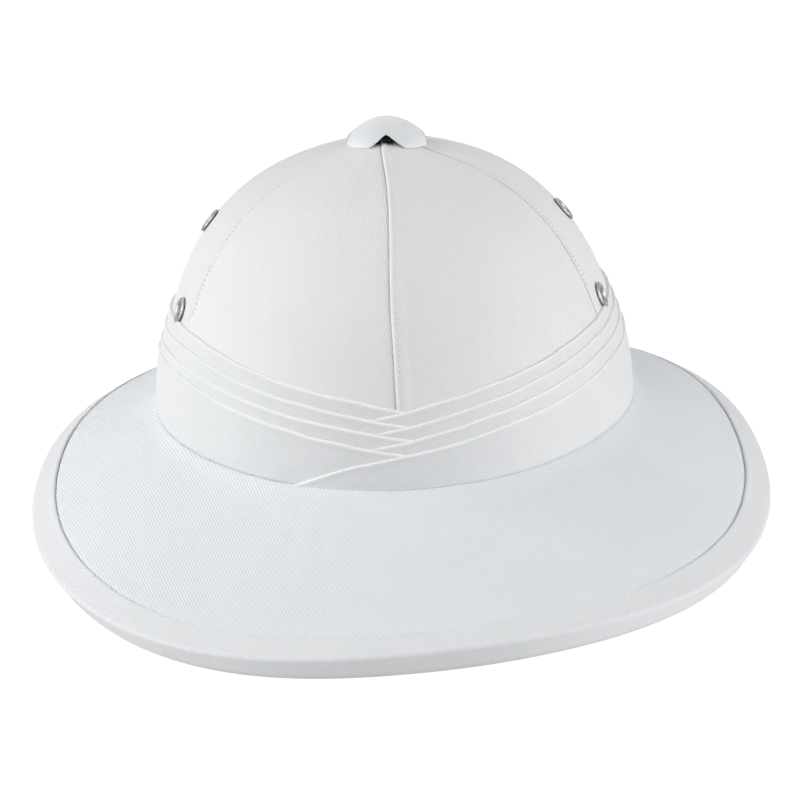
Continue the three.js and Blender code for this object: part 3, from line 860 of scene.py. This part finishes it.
def collar_ring():
    """The dark collar in the vent hole: a flanged ring spun round the crown's axis."""
    seat = float(crown_height(0.0, 7.9)) + 0.4
    profile = np.array(
        [[6.6, seat - 8], [7.9, seat - 8], [7.9, seat], [10.4, seat - 0.4],
         [10.5, seat + 0.1], [8.2, seat + 1.3], [6.9, seat + 1.3], [6.6, seat + 0.9]]
    )
    turn = np.linspace(0, 2 * np.pi, 72, endpoint=False)[:, None]
    points = np.stack(
        np.broadcast_arrays(
            profile[:, 0] * np.sin(turn), -profile[:, 0] * np.cos(turn), profile[:, 1]
        ),
        axis=-1,
    )
    return grid_piece("collar_ring", points, wrap=(True, True))


def loose_threads():
    """Frayed threads of the cut cloth that show in the front arch: thin rods that bow up
    and sideways from the edge of the vent hole."""
    draw = np.random.default_rng(21)
    count = 14
    aside = draw.uniform(-4.2, 3.4, count) + CAP_SHIFT * 0.6
    start = np.stack([aside, draw.uniform(-12.6, -11.4, count), np.zeros(count)], axis=-1)
    low, high = [-1.6, -0.6, 0.8], [1.6, 1.2, 2.6]
    reach = np.stack([draw.uniform(*span, count) for span in zip(low, high)], axis=-1)
    bend = draw.uniform(-0.7, 0.7, (count, 3))
    run = np.linspace(0, 1, 7)[None, :, None]
    line = start[:, None] + reach[:, None] * run + bend[:, None] * np.sin(np.pi * run) * 0.6
    line[..., 2] += crown_height(start[:, 0], start[:, 1])[:, None] + 0.1
    turn = np.linspace(0, 2 * np.pi, 6, endpoint=False)
    fat = 0.13 * np.sqrt(np.clip(1 - (2 * run[..., 0] - 1) ** 6, 0.0, 1))[..., None]
    x = line[:, :, None, 0] + fat * np.cos(turn)
    y = line[:, :, None, 1] + fat * np.sin(turn)
    z = line[:, :, None, 2] + 0 * x
    points = np.stack([x, y, z], axis=-1)
    return weld(mesh_piece("loose_threads", points, rod_faces(7, 6, count)))


tell(cap_dome(), cap_finish, "cap_paint", "vent_cap")
tell(collar_ring(), black_finish, "vent_black", "vent_collar")
tell(loose_threads(), black_finish, "cover_cloth", "gore_front_right")


# ---------- floor, light and camera ----------
FLOOR = 14.0  # half the floor's width, in metres


def white_plane(name, height, glow):
    """A wide plane that glows plain white."""
    mesh = bpy.data.meshes.new(name)
    sides = [(-FLOOR, -FLOOR), (FLOOR, -FLOOR), (FLOOR, FLOOR), (-FLOOR, FLOOR)]
    corners = [(*side, height) for side in sides]
    mesh.from_pydata(corners, [], [(0, 1, 2, 3)])
    plane = bpy.data.objects.new(name, mesh)
    bpy.context.scene.collection.objects.link(plane)
    finish, nodes, links, shader = new_finish(name, 0.9, Specular_IOR_Level=0.0)
    shader.inputs["Base Color"].default_value = (0, 0, 0, 1)
    shader.inputs["Emission Color"].default_value = (1, 1, 1, 1)
    shader.inputs["Emission Strength"].default_value = glow
    mesh.materials.append(finish)
    return plane


def direction(turn, lift):
    """The way from the middle to an angle round the helmet and a height, in degrees."""
    turn, lift = math.radians(turn), math.radians(lift)
    flat = math.cos(lift)
    return Vector((math.sin(turn) * flat, -math.cos(turn) * flat, math.sin(lift)))


LAMP_SIZE, LAMP_REACH = 1.6, 2.2


def soft_light(turn, lift, power):
    """A square soft light that stands round the helmet at an angle and a height."""
    middle, way = Vector((0, 0, 0.08)), direction(turn, lift)
    lamp = bpy.data.lights.new("soft_light", "AREA")
    lamp.size = LAMP_SIZE
    lamp.energy = power
    light = bpy.data.objects.new("soft_light", lamp)
    light.location = middle + LAMP_REACH * way
    light.rotation_mode = "QUATERNION"
    light.rotation_quaternion = way.to_track_quat("Z", "Y")
    bpy.context.scene.collection.objects.link(light)


# The floor that is seen is plain white; the one just below it gives the softer light
# that comes back up from a studio table.
seen = white_plane("studio_floor", 0.0, 1.05)
seen.visible_diffuse = False
seen.visible_shadow = False
bounce = white_plane("table_bounce", -0.0005, 0.58)
bounce.visible_camera = False
# Soft lights: angle round the helmet, height in degrees, and watts.
LAMPS = [
    (-88, 22, 37.8), (-45, 52, 11.0), (85, 14, 29.0), (48, 28, 15.5), (180, 45, 5.0),
    (-120, 40, 4.5), (0, 15, 8.0),
]
for turn, lift, power in LAMPS:
    soft_light(turn, lift, power)

world = bpy.data.worlds.new("studio")
world.use_nodes = True
world.node_tree.nodes["Background"].inputs["Color"].default_value = (1, 1, 1, 1)
world.node_tree.nodes["Background"].inputs["Strength"].default_value = 1.0
bpy.context.scene.world = world
world.cycles_visibility.diffuse = False
bpy.context.scene.view_settings.view_transform = "Standard"

# The camera stands 996 mm from the crown's axis, 14.5 degrees above it, rolled a little.
DISTANCE, ELEVATION, AZIMUTH, ROLL = 0.996, 14.5, -0.4, 3.3
LENS, ASIDE, BELOW = 115.06, 0.00185, 0.0477
TARGET = Vector(ORIGIN + [0, 0, 0.047])
backward = direction(AZIMUTH, ELEVATION)
right = Vector((math.cos(math.radians(AZIMUTH)), math.sin(math.radians(AZIMUTH)), 0))
upward = backward.cross(right)
aim = TARGET + right * ASIDE - upward * BELOW
lens = bpy.data.cameras.new("camera")
lens.lens = LENS
lens.sensor_width = 36
lens.clip_start = 0.05
camera = bpy.data.objects.new("camera", lens)
bpy.context.scene.collection.objects.link(camera)
camera.location = TARGET + backward * DISTANCE
camera.rotation_mode = "QUATERNION"
looking = (aim - camera.location).to_track_quat("-Z", "Y")
roll = Matrix.Rotation(math.radians(-ROLL), 3, "Z").to_quaternion()
camera.rotation_quaternion = looking @ roll
bpy.context.scene.camera = camera
